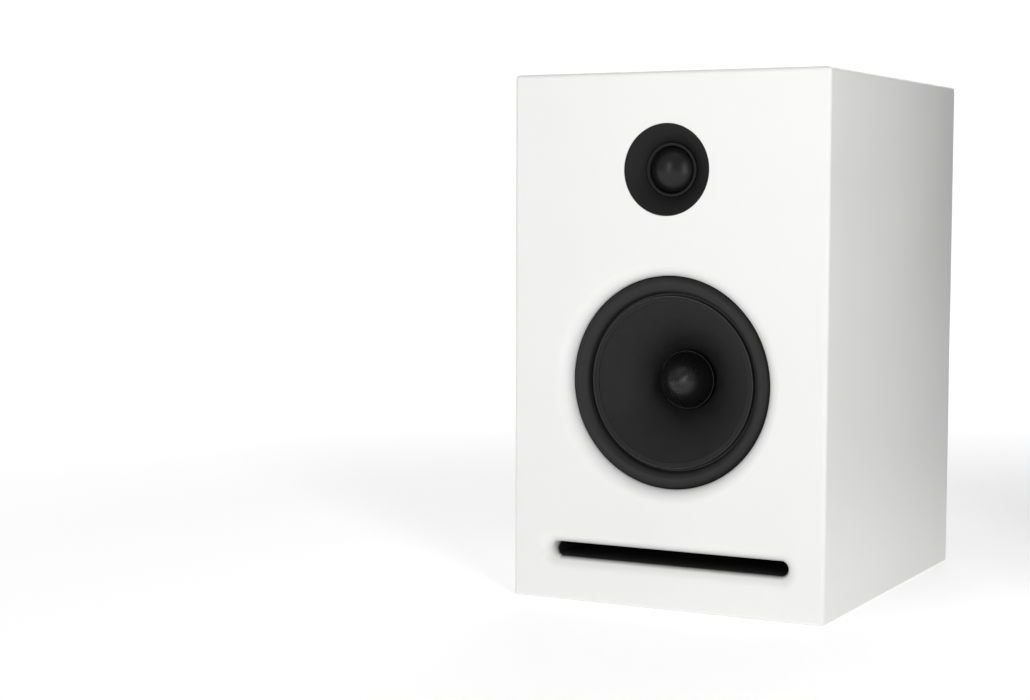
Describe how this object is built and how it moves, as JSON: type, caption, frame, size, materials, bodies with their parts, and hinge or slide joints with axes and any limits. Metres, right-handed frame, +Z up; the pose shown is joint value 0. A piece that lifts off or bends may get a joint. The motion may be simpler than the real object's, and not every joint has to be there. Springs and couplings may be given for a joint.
{
  "type": "bookshelf speaker",
  "caption": "Passive two-way bookshelf speaker with a flared woofer opening, a flush tweeter horn, a front slot port and rear binding posts.",
  "frame": {"origin": "centre of the cabinet's underside", "axes": "+Z up, the front baffle faces -Y, +X to the right seen from the front"},
  "size_m": [0.16, 0.196, 0.254],
  "materials": {
    "cabinet_paint": "satin white lacquer over fibreboard",
    "port_black": "matt black paint over fibreboard",
    "raw_board": "bare fibreboard",
    "damping_foam": "open-cell foam sheet",
    "gasket_foam": "closed-cell foam strip",
    "basket_paint": "black powder-coated pressed steel",
    "surround_rubber": "satin black rubber",
    "cone_black": "black treated paper and polymer cone",
    "cap_black": "semi-gloss black cap",
    "coil_foil": "thin aluminium foil tube",
    "copper_wire": "enamelled and braided copper",
    "spider_cloth": "resin-treated corrugated cloth",
    "motor_steel": "zinc-plated steel",
    "ferrite": "dark grey ferrite ring",
    "tag_laminate": "brown laminate",
    "tinned_brass": "tinned brass",
    "black_screws": "blackened steel",
    "zinc_fasteners": "bright zinc",
    "horn_plastic": "fine-grained black moulding",
    "dome_cloth": "coated black cloth",
    "felt": "grey felt disc",
    "circuit_board": "green circuit board",
    "nylon": "natural nylon",
    "film_sleeve": "yellow film wrap",
    "can_sleeve": "blue shrink sleeve",
    "resistor_body": "off-white cement block",
    "cup_plastic": "fine-grained black moulding",
    "gold_plate": "gold-plated brass",
    "red_plastic": "red moulding",
    "black_plastic": "black moulding",
    "red_wire": "red insulation",
    "black_wire": "black insulation"
  },
  "bodies": {
    "cabinet": {"front_baffle": "cabinet_paint", "left_side": "cabinet_paint", "right_side": "cabinet_paint", "top_panel": "cabinet_paint", "bottom_panel": "cabinet_paint", "rear_panel": "cabinet_paint", "port_lower_board": "port_black", "port_upper_board": "port_black", "port_spacers": "port_black", "window_brace": "raw_board", "acoustic_foam": "damping_foam", "woofer_gasket": "gasket_foam", "woofer_basket": "basket_paint", "woofer_surround": "surround_rubber", "woofer_spider": "spider_cloth", "woofer_top_plate": "motor_steel", "woofer_magnet": "ferrite", "woofer_yoke": "motor_steel", "woofer_tag_board": "tag_laminate", "woofer_tags": "tinned_brass", "woofer_tinsel_leads": "copper_wire", "woofer_screws": "black_screws", "tweeter_gasket": "gasket_foam", "tweeter_horn": "horn_plastic", "tweeter_surround": "dome_cloth", "tweeter_carrier": "horn_plastic", "tweeter_felt": "felt", "tweeter_top_plate": "motor_steel", "tweeter_magnet": "ferrite", "tweeter_yoke": "motor_steel", "tweeter_tags": "tinned_brass", "tweeter_screws": "black_screws", "crossover_board": "circuit_board", "board_spacers": "nylon", "board_screws": "zinc_fasteners", "choke_bobbins": "nylon", "choke_windings": "copper_wire", "film_capacitor": "film_sleeve", "electrolytic_capacitor": "can_sleeve", "ceramic_resistors": "resistor_body", "terminal_cup": "cup_plastic", "terminal_gasket": "gasket_foam", "terminal_screws": "black_screws", "red_post": "gold_plate", "black_post": "gold_plate", "post_lock_nuts": "zinc_fasteners", "solder_tags": "tinned_brass", "positive_leads": "red_wire", "negative_leads": "black_wire"},
    "cone": {"woofer_cone": "cone_black", "woofer_dust_cap": "cap_black", "woofer_former": "coil_foil", "woofer_winding": "copper_wire"},
    "dome": {"tweeter_dome": "dome_cloth", "tweeter_former": "coil_foil", "tweeter_winding": "copper_wire"},
    "red_washer": {"red_clamp_washer": "gold_plate"},
    "black_washer": {"black_clamp_washer": "gold_plate"},
    "red_nut": {"red_thumb_nut": "red_plastic"},
    "black_nut": {"black_thumb_nut": "black_plastic"}
  },
  "joints": [
    {"name": "woofer_stroke", "type": "slide", "parent": "cabinet", "child": "cone", "axis": [0, -1, 0], "range_m": [-0.003, 0.003], "stiffness_N_per_m": 900, "deforming": ["woofer_surround", "woofer_spider", "woofer_tinsel_leads"]},
    {"name": "tweeter_stroke", "type": "slide", "parent": "cabinet", "child": "dome", "axis": [0, -1, 0], "range_m": [-0.0004, 0.0004], "stiffness_N_per_m": 30, "deforming": ["tweeter_surround"]},
    {"name": "red_nut_travel", "type": "slide", "parent": "cabinet", "child": "red_washer", "axis": [0, 1, 0], "range_m": [0, 0.005]},
    {"name": "red_nut_turn", "type": "hinge", "parent": "red_washer", "child": "red_nut", "pos_m": [-0.0095, 0.08, 0.068], "axis": [0, 1, 0], "range_deg": [0, 1801]},
    {"name": "black_nut_travel", "type": "slide", "parent": "cabinet", "child": "black_washer", "axis": [0, 1, 0], "range_m": [0, 0.005]},
    {"name": "black_nut_turn", "type": "hinge", "parent": "black_washer", "child": "black_nut", "pos_m": [0.0095, 0.08, 0.068], "axis": [0, 1, 0], "range_deg": [0, 1801]}
  ],
  "couplings": [
    {"joint": "red_nut_turn", "follows": "red_nut_travel", "rad_per_m": 6283.2},
    {"joint": "black_nut_turn", "follows": "black_nut_travel", "rad_per_m": 6283.2}
  ]
}
